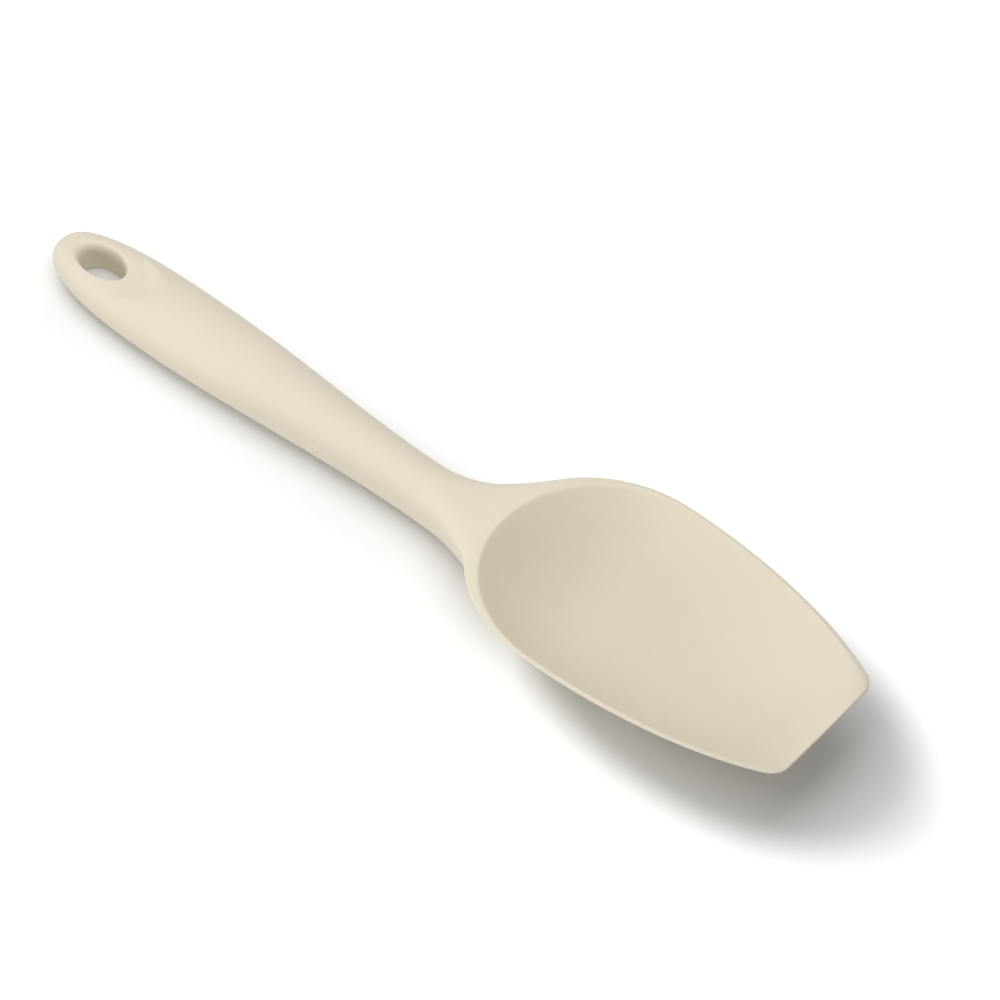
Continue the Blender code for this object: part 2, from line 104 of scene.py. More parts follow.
# %% [markdown]
# ## Curves through the sizes
#
# A designer would draw these lines as splines. A few small helpers do the same here: an S-shaped
# ramp, a cubic with given end slopes, a chain of such cubics that never overshoots its stations,
# the curve of an ellipse, and a minimum whose crease is rounded. The rounded minimum is what lets
# one surface be cut by another, as the bowl's hollow cuts the deck, without a knife edge between
# them.

# %% Make the curve helpers
def ramp(value, start, end):
    """0 before start, 1 after end, and a smooth S between them."""
    share = min(max((value - start) / (end - start), 0.0), 1.0)
    return share * share * (3.0 - 2.0 * share)


def hermite(distance, length, start, end, start_slope, end_slope):
    """Cubic from start to end with the given slopes."""
    t = min(max(distance / length, 0.0), 1.0)
    return ((2 * t ** 3 - 3 * t ** 2 + 1) * start + (3 * t ** 2 - 2 * t ** 3) * end
            + (t ** 3 - 2 * t ** 2 + t) * length * start_slope
            + (t ** 3 - t ** 2) * length * end_slope)


def through(value, stations):
    """A smooth curve through (place, height) pairs, without overshoot."""
    slopes = [(b[1] - a[1]) / (b[0] - a[0]) for a, b in zip(stations, stations[1:])]
    tangents = [slopes[0]]
    for before, after in zip(slopes, slopes[1:]):
        rising = before * after > 0.0
        tangents.append(2.0 * before * after / (before + after) if rising else 0.0)
    tangents.append(slopes[-1])
    index = 0
    while index < len(slopes) - 1 and value > stations[index + 1][0]:
        index += 1
    here, there = stations[index], stations[index + 1]
    return hermite(value - here[0], there[0] - here[0], here[1], there[1],
                   tangents[index], tangents[index + 1])


def ellipse_share(distance, radius):
    """Half width of an ellipse at a distance from its middle, as a share of the full one."""
    return math.sqrt(max(1.0 - (distance / radius) ** 2, 0.0))


def soft_min(first, second, blend):
    """The lower of two heights, with the crease between them rounded."""
    overlap = max(blend - abs(first - second), 0.0) / blend
    return min(first, second) - overlap * overlap * blend / 4.0


print("Halfway up the ramp:", ramp(0.5, 0.0, 1.0))

# %% [markdown]
# ## The plan
#
# Seen from above, the handle is widest near its hole and thins to the neck, and the bowl is one
# ellipse behind its widest place and a longer one in front, cut off straight at the tip. One spline
# round the whole outline would look the same, but a formula for each stretch keeps the widths as
# plain numbers, and makes both sides of the spoon equal.

# %% Draw the plan
HANDLE_WIDTH = 24.2 * MM
NECK_WIDTH = 15.2 * MM
BOWL_WIDTH = 63.7 * MM
BUTT_CURVE = 2.4                    # 2 rounds the butt like an ellipse, more makes it squarer
FLARE_MIDDLE = 20.0 * MM            # from the neck
FLARE_MIDDLE_WIDTH = 22.6 * MM
FLARE_MIDDLE_SLOPE = 0.5
BACK_RADIUS = 39.7 * MM
FRONT_RADIUS = 85.0 * MM
TIP_CORNER_RADIUS = 3.1 * MM


def half_width(s):
    """Half of the spoon's width, seen from above."""
    handle = HANDLE_WIDTH / 2
    neck = NECK_WIDTH / 2
    bowl = BOWL_WIDTH / 2
    if s < WIDEST:
        return handle * (1.0 - (1.0 - s / WIDEST) ** BUTT_CURVE) ** (1.0 / BUTT_CURVE)
    if s < NECK:
        return handle + (neck - handle) * ramp(s, TAPER_START, NECK)
    if s < NECK + FLARE_MIDDLE:
        return hermite(s - NECK, FLARE_MIDDLE, neck, FLARE_MIDDLE_WIDTH / 2, 0.0,
                       FLARE_MIDDLE_SLOPE)
    if s < FLARE_END:
        join = ellipse_share(BACK_LENGTH, BACK_RADIUS)
        join_slope = bowl * BACK_LENGTH / (BACK_RADIUS ** 2 * join)
        return hermite(s - NECK - FLARE_MIDDLE, FLARE_LENGTH - FLARE_MIDDLE,
                       FLARE_MIDDLE_WIDTH / 2, bowl * join, FLARE_MIDDLE_SLOPE, join_slope)
    if s < BOWL_CENTRE:
        return bowl * ellipse_share(BOWL_CENTRE - s, BACK_RADIUS)
    width = bowl * ellipse_share(s - BOWL_CENTRE, FRONT_RADIUS)
    into_corner = max(s - (LENGTH - TIP_CORNER_RADIUS), 0.0)
    corner = TIP_CORNER_RADIUS - math.sqrt(max(TIP_CORNER_RADIUS ** 2 - into_corner ** 2, 0.0))
    return width - corner


print("Widths in mm at the handle, the neck and the bowl:",
      [round(2 * half_width(s) / MM, 1) for s in (WIDEST, NECK, BOWL_CENTRE)])

# %% [markdown]
# ## The side view
#
# Seen from the side, the handle lies almost level, and the deck climbs to the rim between the
# neck and the bowl. Three lines tell it all: the top, the underside, and the level at which the
# spoon is widest, which lies low on the handle and turns into the lip of the bowl. Each could be
# drawn with many points, but a chain through a few stations stays smooth. At its two lowest places
# the underside runs a little below the table and is cut off there, so the spoon rests on two small
# flats.

# %% Draw the top line
BUTT_TOP = 11.0 * MM
WIDEST_TOP = 12.7 * MM
MIDDLE_TOP = 15.1 * MM
NECK_TOP = 15.3 * MM
FLARE_TOP = 16.7 * MM
DECK_HEIGHT = 20.7 * MM
RIM_HEIGHT = 23.2 * MM
TIP_HEIGHT = 24.5 * MM
HANDLE_MIDDLE = (WIDEST + NECK) / 2
TOP_STATIONS = [(0.0, BUTT_TOP), (WIDEST, WIDEST_TOP), (HANDLE_MIDDLE, MIDDLE_TOP),
                (NECK, NECK_TOP), ((NECK + FLARE_END) / 2, FLARE_TOP), (FLARE_END, DECK_HEIGHT),
                (BOWL_CENTRE, RIM_HEIGHT), (LENGTH, TIP_HEIGHT)]


def top_line(s):
    """Highest line of the handle, and the rim of the bowl."""
    return through(s, TOP_STATIONS)


print("Top line in mm at the widest place, the neck and the rim:",
      [round(top_line(s) / MM, 1) for s in (WIDEST, NECK, BOWL_CENTRE)])

# %% Draw the under line
REST_CUT = 0.3 * MM
BUTT_UNDERSIDE = 0.6 * MM
MIDDLE_UNDERSIDE = 0.2 * MM
NECK_UNDERSIDE = 0.4 * MM
BOWL_LOWEST = 3.0 * MM              # in front of the bowl's widest place
TIP_SAG = 0.25 * MM                 # of the tip edge's middle, below its corners
TIP_THICKNESS = 1.2 * MM
DEEPEST = BOWL_CENTRE + BOWL_LOWEST
TIP_UNDERSIDE = TIP_HEIGHT - TIP_SAG - TIP_THICKNESS
UNDER_STATIONS = [(0.0, BUTT_UNDERSIDE), (WIDEST, -REST_CUT), (HANDLE_MIDDLE, MIDDLE_UNDERSIDE),
                  (NECK, NECK_UNDERSIDE), (FLARE_END, NECK_UNDERSIDE), (DEEPEST, -REST_CUT)]


def under_line(s):
    """Lowest line of the spoon, before the rest flats are cut."""
    if s > DEEPEST:
        return -REST_CUT + (TIP_UNDERSIDE + REST_CUT) * ((s - DEEPEST) / (LENGTH - DEEPEST)) ** 2
    return through(s, UNDER_STATIONS)


print("Underside of the tip edge in mm:", round(under_line(LENGTH) / MM, 2))

# %% Draw the widest line
BUTT_LEVEL = 5.2 * MM
WIDEST_LEVEL = 5.6 * MM
MIDDLE_LEVEL = 6.7 * MM
NECK_LEVEL = 7.7 * MM
LIP_ROUNDING = 0.65 * MM
BUTT_ROUNDING = 9.0 * MM
BUTT_SIDE_CURVE = 2.2
LEVEL_STATIONS = [(0.0, BUTT_LEVEL), (WIDEST, WIDEST_LEVEL), (HANDLE_MIDDLE, MIDDLE_LEVEL),
                  (NECK, NECK_LEVEL)]


def level(s):
    """Height of the spoon's widest line: the middle of the handle, and the lip of the bowl."""
    handle = through(s, LEVEL_STATIONS)
    return handle + (top_line(s) - LIP_ROUNDING - handle) * ramp(s, NECK, FLARE_END)


def butt_share(s):
    """How much of its full thickness the handle has near its rounded butt end."""
    if s >= BUTT_ROUNDING:
        return 1.0
    return (1.0 - (1.0 - s / BUTT_ROUNDING) ** BUTT_SIDE_CURVE) ** (1.0 / BUTT_SIDE_CURVE)


print("Widest line in mm at the widest place, the neck and the lip:",
      [round(level(s) / MM, 1) for s in (WIDEST, NECK, BOWL_CENTRE)])

# %% [markdown]
# ## The outside
#
# The upper surface is a squarish oval over the handle, which flattens into the deck behind the
# bowl. A small flat is pressed into it round the hanging hole. The under surface turns from the
# handle's oval into a parabola under the bowl. Both could be sculpted, but they are written as a
# height at each s and y, because the same two functions then shape the mesh and tell how thick the
# spoon is anywhere.

# %% Describe the outside
SECTION_CURVE = 2.3                 # of the handle: 2 is an ellipse, more is squarer
DECK_CURVE = 5.0
BOWL_ACROSS_CURVE = 2.0
BOWL_DOWN_CURVE = 1.15
LAND_CENTRE = 15.6 * MM
LAND_LENGTH = 30.8 * MM
LAND_WIDTH = 18.2 * MM
LAND_HEIGHT = 10.5 * MM
LAND_SLOPE = 0.026
LAND_RISE = 6.1 * MM
LAND_BLEND = 1.6 * MM
LAND_END = 68.0 * MM
NO_WIDTH = 1e-9                     # keeps a division off zero at the butt end


def land(s, y):
    """Height of the flat round the hanging hole, which rises to the crown past its oval edge."""
    flat = LAND_HEIGHT + LAND_SLOPE * (s - LAND_CENTRE)
    past = math.hypot((s - LAND_CENTRE) / (LAND_LENGTH / 2), y / (LAND_WIDTH / 2)) - 1.0
    return flat + LAND_RISE * max(past, 0.0)


def upper(s, y):
    """Height of the upper surface before the hollow is cut."""
    curve = SECTION_CURVE + (DECK_CURVE - SECTION_CURVE) * ramp(s, NECK, FLARE_END)
    share = min(abs(y) / max(half_width(s), NO_WIDTH), 1.0)
    rise = (top_line(s) - level(s)) * butt_share(s)
    crown = level(s) + rise * (1.0 - share ** curve) ** (1.0 / SECTION_CURVE)
    return crown if s > LAND_END else soft_min(crown, land(s, y), LAND_BLEND)


def lower(s, y):
    """Height of the lower surface, level at the small flats that the spoon rests on."""
    bowl = ramp(s, NECK + FLARE_LENGTH / 4, BOWL_CENTRE - BACK_LENGTH / 4)
    across = SECTION_CURVE + (BOWL_ACROSS_CURVE - SECTION_CURVE) * bowl
    down = SECTION_CURVE + (BOWL_DOWN_CURVE - SECTION_CURVE) * bowl
    share = min(abs(y) / max(half_width(s), NO_WIDTH), 1.0)
    drop = (level(s) - under_line(s)) * butt_share(s)
    return max(level(s) - drop * (1.0 - share ** across) ** (1.0 / down), 0.0)


print("Handle thickness in mm at the neck:", round((upper(NECK, 0.0) - lower(NECK, 0.0)) / MM, 1))

# %% [markdown]
# ## The hollow
#
# The hollow holds the food. Behind its deepest place it is a paraboloid, with an even round edge
# against the deck, and in front of it a trough that climbs to the tip edge, so that the spoon can
# be scraped empty. It could be pressed in with a boolean, but the upper side is one surface in the
# real mould too, so here the lower of the two heights simply wins, with a small rounding between.

# %% Describe the hollow
LIP_THICKNESS = 0.8 * MM
BOWL_FLOOR = 4.5 * MM
CAVITY_RADIUS = 34.6 * MM
CAVITY_START = BOWL_CENTRE - CAVITY_RADIUS
RIM_BLEND = 0.35 * MM


def cavity_half_width(s):
    """Half width of the hollow at the rim."""
    if s < BOWL_CENTRE:
        return (BOWL_WIDTH / 2 - LIP_THICKNESS) * ellipse_share(BOWL_CENTRE - s, CAVITY_RADIUS)
    return half_width(min(s, LENGTH - TIP_CORNER_RADIUS)) - LIP_THICKNESS


def hollow(s, y):
    """Height of the hollow's surface."""
    rim = top_line(s)
    if s < DEEPEST:
        back = max(BOWL_CENTRE - s, 0.0) / CAVITY_RADIUS
        side = y / (BOWL_WIDTH / 2 - LIP_THICKNESS)
        return rim - (rim - BOWL_FLOOR) * (1.0 - back ** 2 - side ** 2)
    climb = ((s - DEEPEST) / (LENGTH - DEEPEST)) ** 2
    floor = BOWL_FLOOR + (TIP_HEIGHT - TIP_SAG - BOWL_FLOOR) * climb
    return rim - (rim - floor) * (1.0 - (y / cavity_half_width(s)) ** 2)


def top_surface(s, y):
    """The spoon's upper side: handle, deck, lips and hollow."""
    if s < NECK:
        return upper(s, y)
    return soft_min(upper(s, y), hollow(s, y), RIM_BLEND)


print("Wall under the bowl in mm:", round((hollow(DEEPEST, 0.0) - lower(DEEPEST, 0.0)) / MM, 1))

# %% [markdown]
# ## The skin as a rolled sheet
#
# The skin could be carved with booleans, but a boolean leaves long thin faces round every cut,
# and they show as smears in a soft highlight. Here the skin is a flat grid that is rolled into a
# tube instead: the grid's length becomes the spoon's length, and its width wraps round the
# section. Sections stand close together where the shape turns fast, at the butt, the holes, the
# back edge of the hollow and the tip.
#
# Two strips of the grid, one along the middle of the top and one along the middle of the
# underside, have no width where the spoon is solid. At a hole the strip opens into an oval, so
# the lines of the mesh part and flow round the hole like grain round a knot.

# %% Place the holes
HOLE_CENTRE = 16.5 * MM
HOLE_LENGTH = 14.6 * MM
HOLE_WIDTH = 9.2 * MM
HOLE_ROUNDING = 1.0 * MM            # of its edge in the underside
MOUTH_CENTRE = 16.0 * MM            # the wide, soft edge of the hole in the top
MOUTH_LENGTH = 19.6 * MM
MOUTH_WIDTH = 11.0 * MM
MOUTH_DEPTH = 3.0 * MM
PEG_HOLE_RADIUS = 2.3 * MM
PEG_PLACES = [36.0 * MM, 84.0 * MM, NECK, BOWL_CENTRE + 14.0 * MM]

# Each ring is an oval: its centre's s, its half length and its half width.
MOUTH_RING = (MOUTH_CENTRE, MOUTH_LENGTH / 2, MOUTH_WIDTH / 2)
HOLE_RING = (HOLE_CENTRE, HOLE_LENGTH / 2, HOLE_WIDTH / 2)
FOOT_RING = (HOLE_CENTRE, HOLE_LENGTH / 2 + HOLE_ROUNDING, HOLE_WIDTH / 2 + HOLE_ROUNDING)
PEG_RINGS = [(place, PEG_HOLE_RADIUS, PEG_HOLE_RADIUS) for place in PEG_PLACES]


def hole_ends(ring):
    """Where a hole starts and ends along the spoon."""
    return ring[0] - ring[1], ring[0] + ring[1]


print("The hanging hole's mouth starts and ends in mm:",
      [round(s / MM, 1) for s in hole_ends(MOUTH_RING)])

# %% Choose the sections
BUTT_SECTIONS = 18
MOUTH_SECTIONS = 48
PEG_SECTIONS = 20
NOSE_SECTIONS = 6
HANDLE_SPACING = 1.1 * MM
DECK_SPACING = 0.9 * MM
EDGE_SPACING = 0.2 * MM
BOWL_SPACING = 1.0 * MM
CORNER_SPACING = 0.3 * MM
EDGE_START = CAVITY_START - 1 * MM
EDGE_END = CAVITY_START + 13 * MM
TIP_NOSE = 0.6 * MM


def spaced(start, end, step):
    """Places from start up to end, not counting end."""
    count = max(int(math.ceil((end - start) / step)), 1)
    return [start + (end - start) * i / count for i in range(count)]


def round_spaced(centre, half_length, count):
    """Places along an oval, drawn together at its two ends, not counting the far end."""
    return [centre - half_length * math.cos(math.pi * i / count) for i in range(count)]


sections = [hole_ends(MOUTH_RING)[0] * (i / BUTT_SECTIONS) ** 2 for i in range(BUTT_SECTIONS)]
sections += round_spaced(MOUTH_RING[0], MOUTH_RING[1], MOUTH_SECTIONS)
reached = hole_ends(MOUTH_RING)[1]
for ring in PEG_RINGS:
    start, end = hole_ends(ring)
    if start > CAVITY_START:
        sections += spaced(reached, EDGE_START, DECK_SPACING)
        sections += spaced(EDGE_START, EDGE_END, EDGE_SPACING)
        reached = EDGE_END
    sections += spaced(reached, start, HANDLE_SPACING)
    sections += round_spaced(ring[0], ring[1], PEG_SECTIONS)
    reached = end
sections += spaced(reached, LENGTH - TIP_CORNER_RADIUS, BOWL_SPACING)
sections += spaced(LENGTH - TIP_CORNER_RADIUS, LENGTH - TIP_NOSE, CORNER_SPACING)
sections += [LENGTH - TIP_NOSE * (1.0 - math.sin(math.pi / 2 * i / NOSE_SECTIONS))
             for i in range(NOSE_SECTIONS + 1)]
print("Sections:", len(sections))

# %% [markdown]
# Each section is a closed line of points. On the handle they are spaced like the points of an
# ellipse, so they crowd together at the two sides. On the bowl's upper side one of them always
# lies on the inner edge of the lip, with its neighbours close by, so that this edge stays clean.
# Towards the tip the underside's points move over to match, because there the two sides have to
# meet point by point.

# %% Space the points of a section
QUARTER_POINTS = 42
LIP_POINTS = 10


def section_points():
    """List (side, turn, on_top) round a section. turn is 0 at the side and 1 in the middle."""
    turns = [i / QUARTER_POINTS for i in range(QUARTER_POINTS + 1)]
    back = list(reversed(turns))
    points = [(1, turn, True) for turn in turns] + [(-1, turn, True) for turn in back]
    points += [(-1, turn, False) for turn in turns[1:]]
    points += [(1, turn, False) for turn in back]
    return points


def share_at(s, turn, on_top):
    """How far out a point lies, from 0 in the middle to 1 at the side."""
    plain = math.cos(math.pi / 2 * turn) if turn < 1.0 else 0.0
    lined_up = ramp(s, NECK, FLARE_END) if on_top else ramp(s, BOWL_CENTRE, LENGTH - TIP_NOSE)
    if lined_up == 0.0:
        return plain
    lip = LIP_THICKNESS / half_width(s)
    lip_turn = LIP_POINTS / QUARTER_POINTS
    if turn < lip_turn:
        lipped = 1.0 - lip * (1.0 - math.cos(math.pi * turn / lip_turn)) / 2.0
    else:
        past_lip = (turn - lip_turn) / (1.0 - lip_turn)
        lipped = (1.0 - lip) * math.cos(math.pi / 2 * past_lip) if turn < 1.0 else 0.0
    return plain + (lipped - plain) * lined_up


round_points = section_points()
print("Points in a section:", len(round_points) - 1)

# %% [markdown]
# Two places need more than that. Under the hanging hole the sections lean a little, because the
# hole's foot is shorter than its mouth. Near the tip the upper and the lower points draw together
# along a quarter circle and meet in one line, which closes the skin with a rounded edge.

# %% Put the points on the spoon
def under_place(s):
    """Where a section meets the middle of the underside, shifted round the hole's foot."""
    mouth_start, mouth_end = hole_ends(MOUTH_RING)
    foot_start, foot_end = hole_ends(FOOT_RING)
    first_peg = hole_ends(PEG_RINGS[0])[0]
    if s < mouth_start:
        return foot_start * s / mouth_start
    if s < mouth_end:
        return foot_start + (foot_end - foot_start) * (s - mouth_start) / (mouth_end - mouth_start)
    past = min((s - mouth_end) / (first_peg - mouth_end), 1.0)
    return s + (foot_end - mouth_end) * (1.0 - past)


def opening(s, rings):
    """Half width of the hole at this place, or 0 where there is none."""
    for centre, half_length, half_breadth in rings:
        if abs(s - centre) < half_length:
            return half_breadth * ellipse_share(s - centre, half_length)
    return 0.0


def skin_point(s, side, turn, on_top):
    """Where a point of the sheet goes on the spoon."""
    share = share_at(s, turn, on_top)
    middle_place = s if on_top else under_place(s)
    inner = opening(middle_place, [MOUTH_RING] if on_top else [FOOT_RING] + PEG_RINGS)
    s += (middle_place - s) * (1.0 - share)
    y = side * (inner + share * (half_width(s) - inner))
    z = top_surface(s, y) if on_top else lower(s, y)
    into_nose = max(s - (LENGTH - TIP_NOSE), 0.0) / TIP_NOSE
    if into_nose > 0.0 or turn == 0.0:
        other = lower(s, y) if on_top else top_surface(s, y)
        middle = (z + other) / 2
        z = middle + (z - middle) * (ellipse_share(into_nose, 1.0) if turn > 0.0 else 0.0)
    return Vector((s - LENGTH / 2, y, z))


print("The tip edge's height in mm:", round(skin_point(LENGTH, 1, 1.0, True).z / MM, 2))

# %% Roll the sheet
rows = len(sections) - 1
columns = len(round_points) - 1
skin = bmesh.new()
bmesh.ops.create_grid(skin, x_segments=rows, y_segments=columns, size=1.0)
strips = [i for i in range(columns) if round_points[i][1] == round_points[i + 1][1] == 1.0]
strip_faces = [face for face in skin.faces
               if int((face.calc_center_median().y + 1.0) / 2.0 * columns) in strips]
for vert in skin.verts:
    s = sections[round((vert.co.x + 1.0) / 2.0 * rows)]
    place = round_points[round((vert.co.y + 1.0) / 2.0 * columns)]
    vert.co = skin_point(s, *place)
print("Faces in the sheet:", len(skin.faces), " of them in the strips:", len(strip_faces))

# %% [markdown]
# The strips are cut out where they have opened. Everywhere else their two sides lie on each other,
# and so do the sheet's long edges, the whole first section at the butt and the two halves of the
# last one at the tip. One weld closes them all.

# %% Cut the holes and close the sheet
SMALLEST_AREA = 1e-12
WELD_DISTANCE = 1e-6
opened = [face for face in strip_faces if face.calc_area() > SMALLEST_AREA]
bmesh.ops.delete(skin, geom=opened, context='FACES')
bmesh.ops.remove_doubles(skin, verts=skin.verts, dist=WELD_DISTANCE)
rims = [edge for edge in skin.edges if edge.is_boundary]
print("Faces cut out:", len(opened), " open rim edges:", len(rims))

# %% [markdown]
# ## Holes with rounded rims
#
# A mould leaves no sharp rim on silicone, because a sharp rim would tear. A bevel could round the
# rims, but it would round them evenly, and the hanging hole has a wide soft mouth above and a small
# rounding below. So each rim is extruded edge by edge along a quarter oval, first inwards and then
# down, and a wall bridges the two rims of the hanging hole.
#
# The other rims on the underside are where the core's pegs come through to the mould. They are
# blind wells, with the nylon peg ends standing in them.

# %% Find the rim of a hole
RIM_TOLERANCE = 0.02                # how far off its oval a rim's point may lie, as a share


def rim_of(ring, above):
    """The boundary edges that lie round one hole, on the upper or the lower side."""
    centre, half_length, half_breadth = ring

    def on_ring(vert):
        along = (vert.co.x + LENGTH / 2 - centre) / half_length
        return abs(math.hypot(along, vert.co.y / half_breadth) - 1.0) < RIM_TOLERANCE

    return [edge for edge in rims if all(on_ring(vert) for vert in edge.verts)
            and (edge.verts[0].co.z > BUTT_LEVEL) == above]


print("Edges in the rim of the hanging hole's mouth:", len(rim_of(MOUTH_RING, True)))

# %% Make the tool that rolls a rim in
RIM_STEPS = 7


def roll_in(ring, inner_ring, edges, depth, inwards, straight=0.0):
    """Extrude a rim along a quarter oval into its hole, then straight. inwards is -1 down, 1 up."""
    turns = [math.pi / 2 * i / RIM_STEPS for i in range(1, RIM_STEPS + 1)]
    steps = [(math.sin(turn), depth * (1.0 - math.cos(turn))) for turn in turns]
    if straight > 0.0:
        steps.append((1.0, depth + straight))
    starts = {vert: vert.co.copy() for edge in edges for vert in edge.verts}
    for share, drop in steps:
        centre, half_length, half_breadth = [start + (end - start) * share
                                             for start, end in zip(ring, inner_ring)]
        made = bmesh.ops.extrude_edge_only(skin, edges=edges)["geom"]
        new = {item for item in made if isinstance(item, bmesh.types.BMVert)}
        moved = {}
        for old, place in starts.items():
            vert = next(edge.other_vert(old) for edge in old.link_edges
                        if edge.other_vert(old) in new)
            angle = math.atan2(place.y / ring[2], (place.x + LENGTH / 2 - ring[0]) / ring[1])
            vert.co = Vector((centre - LENGTH / 2 + half_length * math.cos(angle),
                              half_breadth * math.sin(angle), place.z + inwards * drop))
            moved[vert] = place
        starts = moved
        edges = [item for item in made if isinstance(item, bmesh.types.BMEdge)
                 and all(vert in new for vert in item.verts)]
    return edges


print("Steps in a rolled rim:", RIM_STEPS)

# %% Roll in the hanging hole
upper_rim = roll_in(MOUTH_RING, HOLE_RING, rim_of(MOUTH_RING, True), MOUTH_DEPTH, -1)
lower_rim = roll_in(FOOT_RING, HOLE_RING, rim_of(FOOT_RING, False), HOLE_ROUNDING, 1)
wall = bmesh.ops.bridge_loops(skin, edges=upper_rim + lower_rim)
print("Wall faces in the hanging hole:", len(wall["faces"]))

# %% Sink the wells of the pegs
PEG_RIM = 0.15 * MM
WELL_DEPTH = 1.6 * MM
for ring in PEG_RINGS:
    inner_ring = (ring[0], ring[1] - PEG_RIM, ring[2] - PEG_RIM)
    well = roll_in(ring, inner_ring, rim_of(ring, False), PEG_RIM, 1, WELL_DEPTH)
    bmesh.ops.contextual_create(skin, geom=well)
bmesh.ops.recalc_face_normals(skin, faces=skin.faces)
print("Open edges left:", sum(edge.is_boundary for edge in skin.edges))

# %% Make the skin an object
skin_mesh = bpy.data.meshes.new("spoon_skin")
skin.to_mesh(skin_mesh)
skin.free()
skin_mesh.shade_smooth()
spoon_skin = bpy.data.objects.new("spoon_skin", skin_mesh)
bpy.context.scene.collection.objects.link(spoon_skin)
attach(spoon_skin, "root")
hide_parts("silicone_skin")
skin_mesh.calc_loop_triangles()
print("Skin triangles:", len(skin_mesh.loop_triangles))

# %% [markdown]
# ## Helpers for the finishes
#
# Neither finish has a picture behind it. Both are built from noise on Object coordinates, which
# stays on the piece at its true size from every side. A few helpers make the nodes: noise, the
# same noise as a value or as a mix of two colours, and bumps that lie on top of each other.

# %% Make the first finish helpers
def new_finish(name, inputs):
    """A new material and its shader, with the shader's inputs set by name."""
    material = bpy.data.materials.new(name)
    material.use_nodes = True
    shader = material.node_tree.nodes["Principled BSDF"]
    for input_name, value in inputs.items():
        shader.inputs[input_name].default_value = value
    return material, shader


def object_noise(material, scale, detail, roughness=0.5):
    """Noise on Object coordinates, so the pattern stays on the piece. scale is per metre."""
    tree = material.node_tree
    coordinates = tree.nodes.get("Texture Coordinate") or tree.nodes.new("ShaderNodeTexCoord")
    noise = tree.nodes.new("ShaderNodeTexNoise")
    noise.inputs["Scale"].default_value = scale
    noise.inputs["Detail"].default_value = detail
    noise.inputs["Roughness"].default_value = roughness
    tree.links.new(coordinates.outputs["Object"], noise.inputs["Vector"])
    return noise.outputs["Fac"]


print("Helpers made:", new_finish.__name__, "and", object_noise.__name__)

# %% Turn noise into values, colours and bumps
NOISE_LOW = 0.3                     # almost all of a noise lies between these two
NOISE_HIGH = 0.7


def between(material, factor, low, high):
    """Turn noise into a value from low to high."""
    value_range = material.node_tree.nodes.new("ShaderNodeMapRange")
    value_range.inputs["From Min"].default_value = NOISE_LOW
    value_range.inputs["From Max"].default_value = NOISE_HIGH
    value_range.inputs["To Min"].default_value = low
    value_range.inputs["To Max"].default_value = high
    material.node_tree.links.new(factor, value_range.inputs["Value"])
    return value_range.outputs["Result"]


def colour_between(material, factor, first, second):
    """Turn noise into a mix of two colours."""
    colours = material.node_tree.nodes.new("ShaderNodeValToRGB")
    colours.color_ramp.elements[0].position = NOISE_LOW
    colours.color_ramp.elements[0].color = (*first, 1.0)
    colours.color_ramp.elements[1].position = NOISE_HIGH
    colours.color_ramp.elements[1].color = (*second, 1.0)
    material.node_tree.links.new(factor, colours.inputs["Fac"])
    return colours.outputs["Color"]


def bumps(material, layers):
    """Stack bump layers of (height, distance, strength) and return the last normal."""
    tree = material.node_tree
    normal = None
    for height, distance, strength in layers:
        bump = tree.nodes.new("ShaderNodeBump")
        bump.inputs["Distance"].default_value = distance
        bump.inputs["Strength"].default_value = strength
        tree.links.new(height, bump.inputs["Height"])
        if normal is not None:
            tree.links.new(normal, bump.inputs["Normal"])
        normal = bump.outputs["Normal"]
    return normal


print("Noise is read from", NOISE_LOW, "to", NOISE_HIGH)

# %% [markdown]
# ## Cream silicone
#
# Silicone is matte from its mould: fine blasted texture, no gloss, and a soft glow because light
# goes a little way into it. A plain matte cream would look like painted wood, so subsurface
# scattering gives the glow. The colour is one cream all through, but never quite even, so a broad
# and faint cloud of it is mixed in. Two bumps give the texture: the blasted grain, and a slow
# waviness of the surface that only a highlight would show.

# %% Make the silicone
SILICONE_IOR = 1.41
GLOW_SHARE = 0.25
GLOW_DEPTH = 2.0 * MM
GLOW_BY_COLOUR = (1.0, 0.75, 0.45)
DARKER_CREAM = (0.745, 0.685, 0.555)
LIGHTER_CREAM = (0.765, 0.700, 0.565)
SILICONE_ROUGHNESS = (0.54, 0.64)
WAVE_HEIGHT = 0.2 * MM
WAVE_STRENGTH = 0.06
GRAIN_HEIGHT = 0.02 * MM
GRAIN_STRENGTH = 0.25

silicone, silicone_shader = new_finish("cream_silicone", {
    "IOR": SILICONE_IOR, "Subsurface Weight": GLOW_SHARE, "Subsurface Radius": GLOW_BY_COLOUR,
    "Subsurface Scale": GLOW_DEPTH})
cloud = object_noise(silicone, scale=32.0, detail=2.0)
patches = object_noise(silicone, scale=420.0, detail=3.0)
waves = object_noise(silicone, scale=150.0, detail=2.0)
grain = object_noise(silicone, scale=5200.0, detail=2.0, roughness=0.6)
cream = colour_between(silicone, cloud, DARKER_CREAM, LIGHTER_CREAM)
roughness = between(silicone, patches, *SILICONE_ROUGHNESS)
texture = bumps(silicone, [(waves, WAVE_HEIGHT, WAVE_STRENGTH),
                           (grain, GRAIN_HEIGHT, GRAIN_STRENGTH)])
silicone_links = silicone.node_tree.links
silicone_links.new(cream, silicone_shader.inputs["Base Color"])
silicone_links.new(roughness, silicone_shader.inputs["Roughness"])
silicone_links.new(texture, silicone_shader.inputs["Normal"])
spoon_skin.data.materials.append(silicone)
print("Silicone nodes:", len(silicone.node_tree.nodes))

